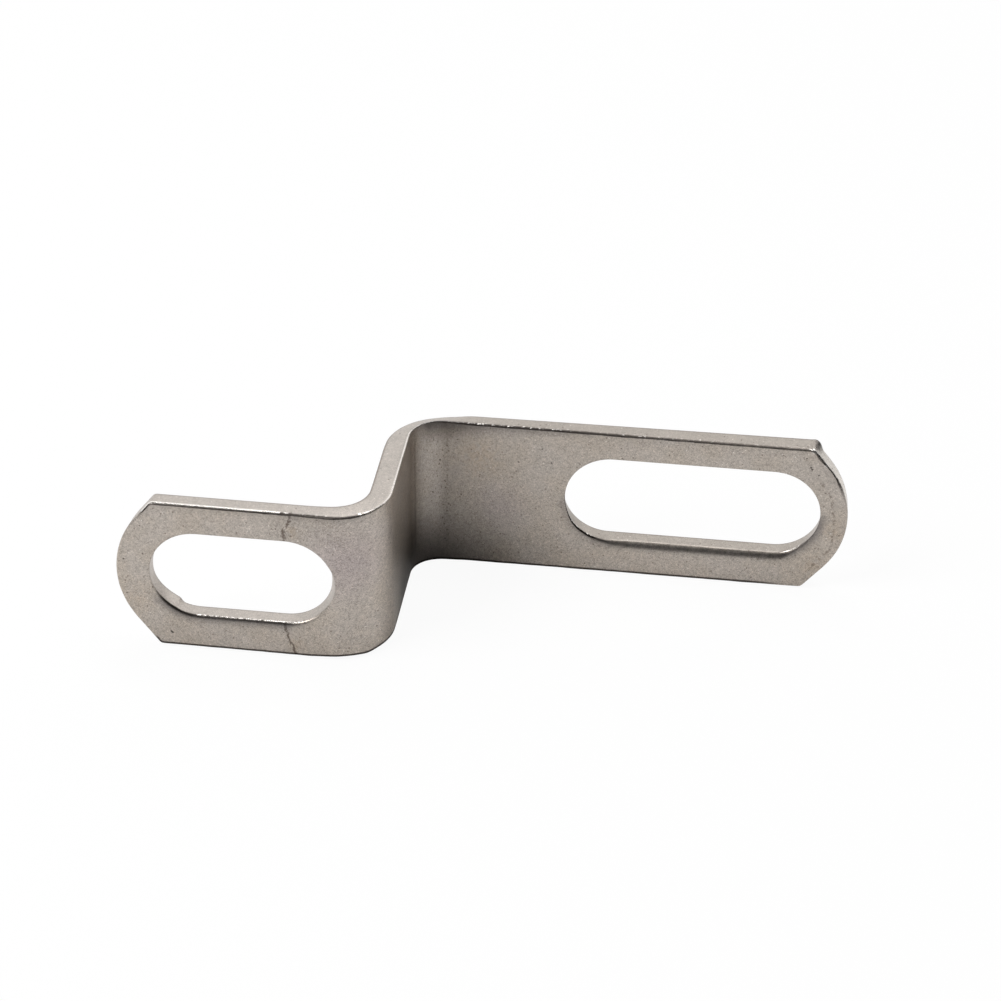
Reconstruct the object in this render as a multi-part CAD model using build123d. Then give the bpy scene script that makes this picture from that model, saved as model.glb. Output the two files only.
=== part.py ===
from build123d import *
import os
from collections import Counter
from math import cos, radians, sin

# Slotted joggle bracket: one strap of stainless sheet, blanked with a slot in each arm and rounded ends,
# then folded twice at right angles so that the two arms lie parallel, one behind the other.
# Millimetres. X runs along the arms, from the short arm to the long one. Y runs from the front face of
# the short arm to the back of the long arm. Z is up, across the strap, which stands on its long edge.
# The origin is the middle of the bounding box at its foot.

# Strap
strap_width = 19.0
strap_thickness = 2.1

# Joggle. Forming has upset the riser between the arms a little, and thinned the sheet at the middle of each
# bend, where it falls short of the mean of the arm's thickness and the riser's by the amounts below.
arm_offset = 21.9  # front face of the short arm to front face of the long arm
riser_thickness = 2.5
first_bend_inner_radius = 3.85  # short arm to riser, its outer side at the front
first_bend_thinning = 0.15
second_bend_inner_radius = 3.55  # riser to long arm, its outer side at the back
second_bend_thinning = 0.55

# Arms, each measured from its tip to the front face of the riser between them
short_arm_reach = 30.6
long_arm_reach = 50.8

# Rounded ends: an arc at the tip and a straight crop from it to each edge of the strap
end_radius = 10.8
end_arc_half_angle = 40.0

# Slots, each with the metal left between its outer end and the tip of its arm
slot_width = 11.0
short_slot_length = 21.0
short_slot_margin = 3.8
long_slot_length = 29.7
long_slot_margin = 3.2
long_slot_rise = 0.5  # the long slot was struck a little above the middle of the strap

# Edges: the punch enters at the front face and rolls every edge there over
edge_roll_radius = 0.4

# Worked out from the sizes above
# A right-angled bend keeps the mean thickness on its diagonal when the outer radius is larger than the inner
# one by just that mean. The outer radius grows by this much for each millimetre of thinning there.
radius_per_thinning = 1 / (2**0.5 - 1)
mean_thickness = (strap_thickness + riser_thickness) / 2
first_bend_outer_radius = first_bend_inner_radius + mean_thickness + first_bend_thinning * radius_per_thinning
second_bend_outer_radius = second_bend_inner_radius + mean_thickness + second_bend_thinning * radius_per_thinning
depth = arm_offset + strap_thickness
middle = strap_width / 2
short_slot_x = -short_arm_reach + short_slot_margin + short_slot_length / 2
long_slot_x = long_arm_reach - long_slot_margin - long_slot_length / 2


def near(value, wanted, within=1e-3):
    return abs(value - wanted) < within


def joggle_profile():
    """The strap's section seen from above, with the riser's front face on X = 0."""
    corners = [
        (-short_arm_reach, 0),
        (0, 0),
        (0, arm_offset),
        (long_arm_reach, arm_offset),
        (long_arm_reach, depth),
        (-riser_thickness, depth),
        (-riser_thickness, strap_thickness),
        (-short_arm_reach, strap_thickness),
    ]
    profile = make_face(Polyline(*corners, close=True))
    rounded = (
        (0, 0, first_bend_outer_radius),
        (-riser_thickness, strap_thickness, first_bend_inner_radius),
        (0, arm_offset, second_bend_inner_radius),
        (-riser_thickness, depth, second_bend_outer_radius),
    )
    for x, y, radius in rounded:
        corner = [v for v in profile.vertices() if near(v.X, x) and near(v.Y, y)]
        profile = fillet(corner, radius)
    return profile


def end_points(tip, outward):
    """Lower corner, arc start, tip, arc end and upper corner of one rounded end, in X and Z."""
    angle = radians(end_arc_half_angle)
    arc_x = tip - outward * end_radius * (1 - cos(angle))
    arc_rise = end_radius * sin(angle)
    corner_x = arc_x - outward * (middle - arc_rise) * sin(angle) / cos(angle)
    return [
        (corner_x, 0),
        (arc_x, middle - arc_rise),
        (tip, middle),
        (arc_x, middle + arc_rise),
        (corner_x, strap_width),
    ]


def blank_outline():
    """The folded strap's outline seen from the front, with both rounded ends."""
    left = end_points(-short_arm_reach, -1)
    right = end_points(long_arm_reach, 1)
    edges = [
        Line(left[0], right[0]),
        Line(right[0], right[1]),
        ThreePointArc(right[1], right[2], right[3]),
        Line(right[3], right[4]),
        Line(right[4], left[4]),
        Line(left[4], left[3]),
        ThreePointArc(left[3], left[2], left[1]),
        Line(left[1], left[0]),
    ]
    return make_face(edges)


def struck_through(sketch):
    """A sketch on the front plane, driven through the whole depth of the bracket."""
    front_plane = Plane(origin=(0, 0, 0), x_dir=(1, 0, 0), z_dir=(0, -1, 0))
    return extrude(front_plane * sketch, amount=-depth)


def slot_punch(slot_x, slot_z, length):
    return struck_through(Pos(slot_x, slot_z) * SlotOverall(length, slot_width))


def is_front(face):
    """True for the faces that make up the front of the strap, from tip to tip."""
    at = face.center()
    if face.geom_type == GeomType.PLANE:
        normal = face.normal_at(at)
        return near(normal.Y, -1) or (near(normal.X, 1) and near(at.X, 0))
    if face.geom_type != GeomType.CYLINDER or not near(abs(face.axis_of_rotation.direction.Z), 1):
        return False
    axis = face.axis_of_rotation.position
    at_first = near(axis.X, -first_bend_outer_radius) and near(axis.Y, first_bend_outer_radius)
    at_second = near(axis.X, second_bend_inner_radius) and near(axis.Y, arm_offset - second_bend_inner_radius)
    return at_first or at_second


def roll_edges(strap):
    """Round the rim of the front faces: the strap's outline and the mouths of both slots."""
    times_met = Counter(edge for face in strap.faces() if is_front(face) for edge in face.edges())
    rim = [edge for edge, times in times_met.items() if times == 1]
    return fillet(rim, edge_roll_radius)


def exhaust_bracket():
    strap = extrude(joggle_profile(), amount=strap_width)
    strap &= struck_through(blank_outline())
    strap -= slot_punch(short_slot_x, middle, short_slot_length)
    strap -= slot_punch(long_slot_x, middle + long_slot_rise, long_slot_length)
    strap = roll_edges(strap)
    return Pos((short_arm_reach - long_arm_reach) / 2, -depth / 2, 0) * strap


os.makedirs("parts", exist_ok=True)
export_step(exhaust_bracket(), "parts/bracket_strap.step")
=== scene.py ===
import math

import bpy
import numpy as np
from mathutils import Matrix, Vector
from mathutils.geometry import delaunay_2d_cdt


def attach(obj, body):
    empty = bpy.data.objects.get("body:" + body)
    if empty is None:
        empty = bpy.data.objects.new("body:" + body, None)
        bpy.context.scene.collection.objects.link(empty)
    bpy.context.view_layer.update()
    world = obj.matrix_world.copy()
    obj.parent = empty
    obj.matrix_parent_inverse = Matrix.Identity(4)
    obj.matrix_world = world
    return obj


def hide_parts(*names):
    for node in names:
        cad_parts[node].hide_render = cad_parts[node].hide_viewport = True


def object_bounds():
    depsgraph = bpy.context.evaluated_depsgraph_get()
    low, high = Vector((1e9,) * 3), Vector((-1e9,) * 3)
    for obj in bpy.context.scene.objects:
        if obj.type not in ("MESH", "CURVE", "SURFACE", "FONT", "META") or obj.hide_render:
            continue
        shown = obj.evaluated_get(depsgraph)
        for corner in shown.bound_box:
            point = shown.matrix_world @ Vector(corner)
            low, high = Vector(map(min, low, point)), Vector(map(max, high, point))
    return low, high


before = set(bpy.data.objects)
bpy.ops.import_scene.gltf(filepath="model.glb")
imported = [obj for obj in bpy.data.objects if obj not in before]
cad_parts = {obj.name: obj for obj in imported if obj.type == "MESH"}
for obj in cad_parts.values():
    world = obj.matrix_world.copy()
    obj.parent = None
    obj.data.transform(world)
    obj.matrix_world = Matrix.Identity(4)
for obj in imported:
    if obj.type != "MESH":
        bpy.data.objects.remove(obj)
CAD_LOW, CAD_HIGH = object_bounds()
SCENE = bpy.context.scene

# The folded strap, in millimetres, in the frame of the CAD model: X along the arms, Y from the front of the
# short arm to the back of the long one, Z up. The overall sizes come from the bounds of the CAD model.
MM = 0.001
TIP_LEFT = CAD_LOW.x / MM
TIP_RIGHT = CAD_HIGH.x / MM
FRONT_Y = CAD_LOW.y / MM
BACK_Y = CAD_HIGH.y / MM
WIDTH = CAD_HIGH.z / MM
MIDDLE = WIDTH / 2
THICKNESS = 2.1
RISER_FRONT_X = -10.1
RISER_THICKNESS = 2.5

# The two surfaces of the sheet: X of the riser, Y of the short and the long arm, and the radii of both bends
FRONT = {"riser": RISER_FRONT_X, "near": FRONT_Y, "far": BACK_Y - THICKNESS, "first": 6.42, "second": 3.52}
BACK = {
    "riser": RISER_FRONT_X - RISER_THICKNESS,
    "near": FRONT_Y + THICKNESS,
    "far": BACK_Y,
    "first": 3.9,
    "second": 7.03,
}

# Rounded ends: radius, half angle of the arc, rise of its centre above the middle of the strap, and how much
# shorter the back surface is than the front one
LEFT_END = {"radius": 10.84, "half_angle": 39.84, "rise": 0.335, "draft": 0.243}
RIGHT_END = {"radius": 10.81, "half_angle": 39.73, "rise": 0.155, "draft": 0.079}
END_REACH = 9.0
LEFT_FOOT = {"shift": 0.3, "height": 3.2}  # the left end's lower crop is steeper close to the foot
CORNER_ROUND = 0.6

# Slots on the front and back surfaces: centre along X and Z, length and width
SHORT_SLOT = {"front": (-26.33, 9.794, 21.05, 11.11), "back": (-26.66, 9.555, 20.54, 10.71)}
LONG_SLOT = {"front": (22.8, 10.0, 29.47, 11.12), "back": (22.31, 9.904, 30.77, 11.19)}

# How far the strap's edges stand proud on the front and back surfaces at the middle of each bend, where the
# inner side is squeezed out and the outer side drawn in, and how far they run out of true at the short tip,
# the end of the second bend and the long tip
BEND_EDGES = {
    "top": {"first": (-0.065, 0.152), "second": (0.035, -0.456)},
    "bottom": {"first": (-0.237, 0.16), "second": (0.128, -0.22)},
}
EDGE_RUNOUT = {
    "top": {"front": (0.122, 0.011, -0.111), "back": (0.033, -0.222, 0.156)},
    "bottom": {"front": (-0.144, 0.1, 0.02), "back": (0.0, 0.0, 0.0)},
}
SWELL_CORE = 0.25  # the swelling is full within this share of a bend's arc to each side of its middle
SWELL_REACH = 4.65
SWELL_POWER = 3  # the swelling fades towards the middle of the strap with this power of the height
FOOT_LIP = 0.08  # burr that stands proud under the front face along the strap's foot

# Mesh
FRONT_SPACING = 0.27
BACK_SPACING = 0.4
RIM_SPACING = 0.27
RIM_BAND = 0.9  # how far the rings of a rim reach in from the outline, or this margin past a wider roll
RIM_MARGIN = 0.1
ROW_SHARE = 0.866  # distance between the rows of a face's grid, as a share of its spacing
CLEAR_SHARE = 0.6  # how far that grid stays off the rims, as a share of its spacing
END_POINTS = 41
SLOT_END_POINTS = 49
CORNER_POINTS = 7
WELD = 1e-6
LEAST_AREA = 1e-4
SLIVER_PASSES = 6
CHUNK = 2000  # points tested at a time, to spare memory

# Camera, matched to the photo: azimuth, elevation and roll in degrees, an anchor point with its pixel and its
# distance along the view in millimetres, and the focal length in pixels
PHOTO_SIDE = 1001
PHOTO_MIDDLE = 500.0
CAMERA_AZIMUTH = 6.8861
CAMERA_ELEVATION = 32.8614
CAMERA_ROLL = 0.7212
ANCHOR = (RISER_FRONT_X, FRONT_Y, MIDDLE)
ANCHOR_PIXEL = (384.288, 592.959)
ANCHOR_DEPTH = 308.788
FOCAL_PIXELS = 2773.27
SENSOR = 36.0
CLIP_START = 0.01


def step(value, low, high):
    """0 at the first bound and 1 at the second, smooth between; falling where they are swapped."""
    share = np.clip((value - low) / (high - low), 0.0, 1.0)
    return share * share * (3.0 - 2.0 * share)


def within(value, start, full, full_to, end):
    """1 between the inner two of four rising bounds, smoothly down to 0 at the outer two."""
    return step(value, start, full) * step(value, end, full_to)


def bump(value, centre, reach):
    """1 at a centre, falling smoothly to 0 at this reach."""
    return step(np.abs(value - centre), reach, 0.0)


# Distance along the sheet is counted from the start of the first bend
QUARTER = math.pi / 2
MEAN = {key: (FRONT[key] + BACK[key]) / 2 for key in FRONT}
FIRST_ARC = MEAN["first"] * QUARTER
SECOND_ARC = MEAN["second"] * QUARTER
RISER_LENGTH = BACK_Y - FRONT_Y - THICKNESS - MEAN["first"] - MEAN["second"]
SECOND_START = FIRST_ARC + RISER_LENGTH
SECOND_END = SECOND_START + SECOND_ARC


def along_short(x):
    """Distance along the sheet of a point on the short arm."""
    return x - MEAN["riser"] + MEAN["first"]


def along_long(x):
    """Distance along the sheet of a point on the long arm."""
    return x - MEAN["riser"] - MEAN["second"] + SECOND_END


ALONG_LEFT = along_short(TIP_LEFT)
ALONG_RIGHT = along_long(TIP_RIGHT)


def on_surface(surface, along):
    """Plan position of points on one surface, at these distances along the sheet."""
    first, second = surface["first"], surface["second"]
    first_x, second_x = surface["riser"] - first, surface["riser"] + second
    first_y, second_y = surface["near"] + first, surface["far"] - second
    first_turn = along / FIRST_ARC * QUARTER
    second_turn = (along - SECOND_START) / SECOND_ARC * QUARTER
    riser_share = (along - FIRST_ARC) / RISER_LENGTH
    long_share = (along - SECOND_END) / (ALONG_RIGHT - SECOND_END)
    x = [
        first_x + along / ALONG_LEFT * (TIP_LEFT - first_x),
        first_x + first * np.sin(first_turn),
        surface["riser"],
        second_x - second * np.cos(second_turn),
    ]
    y = [
        surface["near"],
        first_y - first * np.cos(first_turn),
        first_y + riser_share * (second_y - first_y),
        second_y + second * np.sin(second_turn),
    ]
    stretches = [along <= 0, along <= FIRST_ARC, along <= SECOND_START, along <= SECOND_END]
    long_x = second_x + long_share * (TIP_RIGHT - second_x)
    return np.select(stretches, x, long_x), np.select(stretches, y, surface["far"])


def bend_share(along, start, arc):
    """1 over the middle of a bend, falling smoothly to 0 within the reach of its swelling."""
    outside = np.abs(along - start - arc / 2) - SWELL_CORE * arc
    return step(outside, SWELL_REACH, 0.0)


def edge_shift(along, depth, edge):
    """How far one edge of the strap stands proud at this depth through the sheet, from 0 to 1."""
    first = bend_share(along, 0.0, FIRST_ARC)
    second = bend_share(along, SECOND_START, SECOND_ARC)
    stations = (ALONG_LEFT, 0.0, SECOND_START, SECOND_END, ALONG_RIGHT)
    sides = []
    for side, name in enumerate(("front", "back")):
        at_tip, at_bend, at_far_tip = EDGE_RUNOUT[edge][name]
        runout = np.interp(along, stations, (at_tip, 0.0, 0.0, at_bend, at_far_tip))
        bends = BEND_EDGES[edge]
        lip = FOOT_LIP if edge == "bottom" and name == "front" else 0.0
        sides.append(first * bends["first"][side] + second * bends["second"][side] + runout + lip)
    return sides[0] * (1 - depth) + sides[1] * depth


def placed(along, z, depth):
    """Points in millimetres from distance along the sheet, height, and depth from 0 at the front to 1."""
    front, back = np.array([on_surface(FRONT, along), on_surface(BACK, along)])
    x, y = front + depth * (back - front)
    lever = (z - MIDDLE) / MIDDLE
    proud = np.where(lever > 0, edge_shift(along, depth, "top"), -edge_shift(along, depth, "bottom"))
    return np.stack([x, y, z + np.abs(lever) ** SWELL_POWER * proud], axis=1)


# Outlines in sheet coordinates

def arc_points(centre, radius, start, end, count):
    angle = np.radians(np.linspace(start, end, count))
    return [(centre[0] + radius * math.cos(a), centre[1] + radius * math.sin(a)) for a in angle]


def unit(vector):
    return vector / np.linalg.norm(vector)


def rounded_corner(before, corner, after, radius):
    """A corner between two straight stretches as a short arc."""
    before, corner, after = np.array([before, corner, after], float)
    back, ahead = unit(before - corner), unit(after - corner)
    half = math.acos(back @ ahead) / 2
    centre = corner + unit(back + ahead) * radius / math.sin(half)
    first = corner + back * radius / math.tan(half) - centre
    last = corner + ahead * radius / math.tan(half) - centre
    shares = np.linspace(0, 1, CORNER_POINTS)
    return [tuple(centre + unit(first * (1 - share) + last * share) * radius) for share in shares]


def end_outline(end, outward):
    """One rounded end, counter-clockwise, with its tip at 0: corner, crop, arc, crop, corner."""
    middle = MIDDLE + end["rise"] * outward
    half_angle = math.radians(end["half_angle"])
    radius = end["radius"]
    rise = radius * math.sin(half_angle)
    arc_x = -radius * (1 - math.cos(half_angle))
    lower = (arc_x - (middle - rise) * math.tan(half_angle), 0.0)
    upper = (arc_x - (WIDTH - middle - rise) * math.tan(half_angle), WIDTH)
    arc = arc_points((-radius, middle), radius, -end["half_angle"], end["half_angle"], END_POINTS)
    points = rounded_corner((lower[0] - radius, 0.0), lower, arc[0], CORNER_ROUND)
    points += arc
    points += rounded_corner(arc[-1], upper, (upper[0] - radius, WIDTH), CORNER_ROUND)
    if outward < 0:
        points = [(-x, WIDTH - z) for x, z in points]
    return points


def strap_outline():
    """The strap's outline in sheet coordinates, counter-clockwise from the lower right corner."""
    right = [(ALONG_RIGHT + x, z) for x, z in end_outline(RIGHT_END, 1)]
    left = []
    for x, z in end_outline(LEFT_END, -1):
        foot = max(0.0, 1.0 - z / LEFT_FOOT["height"])
        left.append((ALONG_LEFT + x - LEFT_FOOT["shift"] * foot, z))
    return right + left


def slot_outline(shape, along_of):
    """A slot's outline in sheet coordinates, counter-clockwise."""
    x, z, length, width = shape
    radius = width / 2
    half = length / 2 - radius
    along = along_of(x)
    right = arc_points((along + half, z), radius, -90, 90, SLOT_END_POINTS)
    left = arc_points((along - half, z), radius, 90, 270, SLOT_END_POINTS)
    return right + left


def evenly(points, count):
    """A closed outline as this many points at equal distances."""
    points = np.array(points + points[:1], float)
    steps = np.hypot(*np.diff(points, axis=0).T)
    reach = np.concatenate([[0.0], np.cumsum(steps)])
    wanted = np.linspace(0, reach[-1], count, endpoint=False)
    return np.stack([np.interp(wanted, reach, points[:, k]) for k in (0, 1)], axis=1)


def inward_normals(loop, hole, window=2):
    """Unit directions into the sheet, eased over a few points so that they fan out at corners."""
    ahead = np.roll(loop, -1, axis=0) - np.roll(loop, 1, axis=0)
    normal = np.stack([-ahead[:, 1], ahead[:, 0]], axis=1)
    if hole:
        normal = -normal
    normal /= np.linalg.norm(normal, axis=1, keepdims=True)
    eased = sum(np.roll(normal, shift, axis=0) for shift in range(-window, window + 1))
    return eased / np.linalg.norm(eased, axis=1, keepdims=True)


def ragged(loop, seed, size=2):
    """Smooth random values around 0 along a loop, with features of about this many points."""
    source = np.random.default_rng(seed).normal(size=len(loop))
    reach = np.arange(-3 * size, 3 * size + 1)
    weight = np.exp(-0.5 * (reach / size) ** 2)
    spread = sum(w * np.roll(source, int(k)) for w, k in zip(weight, reach))
    return spread / np.sqrt((weight**2).sum())


# Edge sections: inset from the outline and depth from the front, in units of the roll's size. The strap's
# outer edge breaks off from the face at a crease. The slots' mouths dip slowly and turn down at the last
# moment, or are worn to a broad slope.
OUTER_ROLL = (
    (1.70, 0.00), (1.30, 0.00), (1.05, 0.01), (0.92, 0.06), (0.74, 0.17), (0.55, 0.31),
    (0.37, 0.48), (0.22, 0.68), (0.11, 0.92), (0.04, 1.25), (0.00, 1.75),
)
CRISP_ROLL = (
    (2.60, 0.00), (2.00, 0.03), (1.50, 0.08), (1.10, 0.15), (0.75, 0.25),
    (0.45, 0.38), (0.22, 0.53), (0.08, 0.70), (0.02, 0.86), (0.00, 1.05),
)
SOFT_ROLL = (
    (1.55, 0.00), (1.35, 0.02), (1.15, 0.06), (0.95, 0.13), (0.75, 0.22),
    (0.55, 0.33), (0.36, 0.45), (0.18, 0.58), (0.06, 0.70), (0.00, 0.84),
)
# Rings down the wall, as shares of it, the depth at which it ends, and the corner at the back, as inset in
# millimetres and depth from 0 to 1
WALL_SHARES = (0.2, 0.4, 0.6, 0.8, 1.0)
WALL_END = 0.97
BACK_CORNER = ((0.02, 0.99), (0.06, 1.0), (0.25, 1.0), (0.55, 1.0), (RIM_BAND, 1.0))


class Builder:
    """Collects the points and faces of the sheet in sheet coordinates."""

    def __init__(self):
        self.points = []
        self.faces = []
        self.count = 0

    def add(self, *columns):
        """Points by along, height, depth, inset from the outline and tilt, each a row or one value."""
        rows = np.broadcast_arrays(*[np.asarray(column, float) for column in columns])
        first = self.count
        self.points.append(np.stack(rows, axis=1))
        self.count += len(rows[0])
        return np.arange(first, self.count)

    def band(self, ring, following, flip):
        """Quads between two rings of as many points."""
        quads = np.stack([ring, np.roll(ring, -1), np.roll(following, -1), following], axis=1)
        self.faces += (quads[:, ::-1] if flip else quads).tolist()


def rim(builder, front_loop, back_loop, hole, roll, softness, proud):
    """The edge of the sheet along one outline, as rings from the front face round to the back face."""
    normals = inward_normals(front_loop, hole)
    sections = zip(CRISP_ROLL, SOFT_ROLL) if hole else zip(OUTER_ROLL, OUTER_ROLL)
    section = []
    for crisp, soft in sections:
        inset = (crisp[0] + (soft[0] - crisp[0]) * softness) * roll
        depth = (crisp[1] + (soft[1] - crisp[1]) * softness) * roll / THICKNESS
        section.append((inset, depth))
    wall_start = section[-1][1]
    for share in WALL_SHARES:
        section.append((0.0, wall_start + share * (WALL_END - wall_start)))
    section += BACK_CORNER
    band = np.maximum(RIM_BAND, section[0][0] + RIM_MARGIN)
    section = [(band, 0.0)] + section
    insets = np.array([np.broadcast_to(inset, len(front_loop)) for inset, _ in section])
    depths = np.array([np.broadcast_to(depth, len(front_loop)) for _, depth in section])
    tilts = np.arctan2(np.gradient(depths, axis=0) * THICKNESS, -np.gradient(insets, axis=0)) / QUARTER
    rings = []
    for inset, depth, tilt in zip(insets, depths, tilts):
        loop = front_loop + (back_loop - front_loop) * depth[:, None]
        loop = loop + normals * (inset - proud(loop, depth))[:, None]
        rings.append(builder.add(*loop.T, depth, inset, tilt))
    for ring, following in zip(rings, rings[1:]):
        builder.band(ring, following, flip=not hole)
    return rings[0], rings[-1]


def inside(points, loop):
    """Even-odd test of points against a closed outline."""
    ax, az = loop.T
    bx, bz = np.roll(loop, -1, axis=0).T
    found = np.zeros(len(points), bool)
    for start in range(0, len(points), CHUNK):
        x, z = points[start : start + CHUNK].T[:, :, None]
        crosses = (az > z) != (bz > z)
        with np.errstate(divide="ignore", invalid="ignore"):
            at = (bx - ax) * (z - az) / (bz - az) + ax
        found[start : start + CHUNK] = (crosses & (x < at)).sum(axis=1) % 2 == 1
    return found


def on_sheet(points, loops):
    """True for points inside the first outline and outside the holes after it."""
    found = inside(points, loops[0])
    for hole in loops[1:]:
        found &= ~inside(points, hole)
    return found


def distance_to(points, loop):
    """Distance of points from the nearest point of an outline."""
    found = np.zeros(len(points))
    for start in range(0, len(points), CHUNK):
        squared = ((points[start : start + CHUNK, None] - loop) ** 2).sum(axis=2)
        found[start : start + CHUNK] = np.sqrt(squared.min(axis=1))
    return found


def turned_round(triangle):
    """A triangle's corners from each of them in turn: start and end of a side, and the corner opposite."""
    a, b, c = triangle
    return (a, b, c), (b, c, a), (c, a, b)


def without_slivers(triangles, points):
    """The same triangles, with each flat one on a border turned into the one behind it."""
    for _ in range(SLIVER_PASSES):
        owner = {}
        for number, triangle in enumerate(triangles):
            for start, end, apex in turned_round(triangle):
                owner[(start, end)] = (number, apex)
        a, b, c = points[np.array(triangles)].transpose(1, 2, 0)
        first, second = b - a, c - a
        flat = np.nonzero(np.abs(first[0] * second[1] - first[1] * second[0]) / 2 < LEAST_AREA)[0]
        if len(flat) == 0:
            break
        touched = set()
        for number in flat:
            sides = turned_round(triangles[number])
            start, end, apex = max(sides, key=lambda side: np.hypot(*(points[side[0]] - points[side[1]])))
            behind = owner.get((end, start))
            if behind is None or number in touched or behind[0] in touched:
                continue
            touched.update((number, behind[0]))
            triangles[number] = (start, behind[1], apex)
            triangles[behind[0]] = (behind[1], end, apex)
    return triangles


def fill(builder, rings, depth, spacing, flip):
    """Triangles over one face of the sheet, between its rim rings, on a staggered grid."""
    made = np.concatenate(builder.points)
    loops = [made[ring, :2] for ring in rings]
    low, high = loops[0].min(axis=0), loops[0].max(axis=0)
    rows = np.arange(low[1], high[1], spacing * ROW_SHARE)
    grid = []
    for number, row in enumerate(rows):
        columns = np.arange(low[0] + (number % 2) * spacing / 2, high[0], spacing)
        grid.append(np.stack([columns, np.full(len(columns), row)], axis=1))
    grid = np.concatenate(grid)
    grid = grid[on_sheet(grid, loops)]
    away = np.min([distance_to(grid, loop) for loop in loops], axis=0)
    keep = away > spacing * CLEAR_SHARE
    grid, away = grid[keep], away[keep]
    inner = builder.add(*grid.T, depth, RIM_BAND + away, 2 * depth)
    numbers = np.concatenate(list(rings) + [inner])
    points = np.concatenate(loops + [grid])
    edges = []
    start = 0
    for number, loop in enumerate(loops):
        border = list(range(start, start + len(loop)))
        if number > 0:
            border.reverse()
        edges += zip(border, border[1:] + border[:1])
        start += len(loop)
    corners, _, faces, origins, _, _ = delaunay_2d_cdt([Vector(p) for p in points], edges, [], 0, WELD)
    centres = np.array([np.mean([corners[k] for k in face], axis=0) for face in faces])
    kept = on_sheet(centres, loops)
    triangles = [[origins[k][0] for k in face] for keep, face in zip(kept, faces) if keep]
    for corner in without_slivers(triangles, points):
        corner = [int(numbers[k]) for k in corner]
        builder.faces.append(corner[::-1] if flip else corner)


def shifted_back(loop):
    """The outline on the back surface, a little shorter at both ends."""
    at_left = step(loop[:, 0], ALONG_LEFT + END_REACH, ALONG_LEFT)
    at_right = step(loop[:, 0], ALONG_RIGHT - END_REACH, ALONG_RIGHT)
    shift = at_left * LEFT_END["draft"] - at_right * RIGHT_END["draft"]
    return loop + np.stack([shift, np.zeros(len(loop))], axis=1)


# Size of the roll along the strap's outline, how much finer it is on the riser, along the foot and on the
# right end's upper crop, and how much it wavers
ARM_ROLL = 0.22
RISER_FINER = 0.12
FOOT_FINER = 0.1
CROP_FINER = 0.03
OUTER_WAVER = 0.015
CROP_WAVER = 0.04
LEAST_OUTER_ROLL = 0.07
RISER_STRETCH = (0.3 * FIRST_ARC, 0.3 * FIRST_ARC + 4.0, SECOND_END - 2.0, SECOND_END + 3.0)
FOOT_HEIGHTS = (11.0, 7.0)
CROP_START = (ALONG_RIGHT - 6.5, ALONG_RIGHT - 4.5)

# The same for the slots, where the roll is coarser along the lower edges. The long slot's is dragged into a
# soft round between two places, given by X.
SLOT_ROLL = 0.14
SHORT_LOWER_COARSER = 0.24
LONG_LOWER_COARSER = 0.16
SOFT_COARSER = 0.3
SLOT_WAVER = 0.02
SLOT_LOWER_HEIGHTS = (MIDDLE - 0.5, MIDDLE - 4.0)
SOFT_STRETCH = (along_long(11.0), along_long(16.0), along_long(33.3), along_long(36.3))

# How far the front of the long slot's lower edge has been dragged outwards, from which height, and to where
SLOT_DRAG = 0.27
DRAG_HEIGHTS = (MIDDLE - 1.0, MIDDLE - 3.5)
DRAG_END = (along_long(36.0), along_long(33.0))

# The lump of metal left standing in the short slot, by angle round the slot's left end: where it starts to
# grow, where it is highest and where it has dropped away
LUMP_ANGLES = (188.0, 238.0, 248.0)
LUMP_HEIGHT = 0.42

# Burrs that stand out of the strap's outline, as distance along the sheet, reach, height and the depths over
# which they grow: on the rear top corner of the long arm, and under the first bend, where it is ragged
CORNER_BURR = (along_long(36.55), 0.75, 0.3, (0.45, 0.85))
BEND_BURR = (0.42 * FIRST_ARC, 2.2, 0.1, (0.65, 0.25))
BURR_WAVER = 0.35
CORNER_BURR_ZONE = 1.6
BEND_BURR_ZONE = 1.0


def outer_roll(loop):
    """Rolled edge of the strap: finest along its foot and along the riser, which was folded tight."""
    along, height = loop.T
    roll = ARM_ROLL - RISER_FINER * within(along, *RISER_STRETCH) - FOOT_FINER * step(height, *FOOT_HEIGHTS)
    roll = roll + OUTER_WAVER * ragged(loop, 11)
    crop = step(along, *CROP_START) * (height > MIDDLE)
    roll = roll + crop * (CROP_WAVER * ragged(loop, 12) - CROP_FINER)
    return np.maximum(roll, LEAST_OUTER_ROLL), np.zeros(len(loop))


def short_slot_roll(loop):
    """Rolled mouth of the short slot: fine above, coarse along its lower edge."""
    low = step(loop[:, 1], *SLOT_LOWER_HEIGHTS)
    roll = SLOT_ROLL + SHORT_LOWER_COARSER * low + SLOT_WAVER * low * ragged(loop, 21)
    return roll, np.zeros(len(loop))


def long_slot_roll(loop):
    """Rolled mouth of the long slot: its lower edge has been dragged into a soft round."""
    low = step(loop[:, 1], *SLOT_LOWER_HEIGHTS)
    soft = low * within(loop[:, 0], *SOFT_STRETCH)
    return SLOT_ROLL + LONG_LOWER_COARSER * low + SOFT_COARSER * soft, soft


def slot_lump(loop, depth):
    """The lump at the lower left of the short slot, which leans in towards the back of the sheet."""
    x, z, length, width = SHORT_SLOT["front"]
    across = loop[:, 0] - along_short(x - (length - width) / 2)
    angle = np.degrees(np.arctan2(loop[:, 1] - z, across)) % 360
    start, top, end = LUMP_ANGLES
    return LUMP_HEIGHT * within(angle, start, top, top, end) * depth


def slot_drag(loop, depth):
    """How far the front of the long slot's lower edge has been dragged outwards, as a negative height."""
    return -SLOT_DRAG * step(loop[:, 1], *DRAG_HEIGHTS) * step(loop[:, 0], *DRAG_END) * (1.0 - depth)


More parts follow.
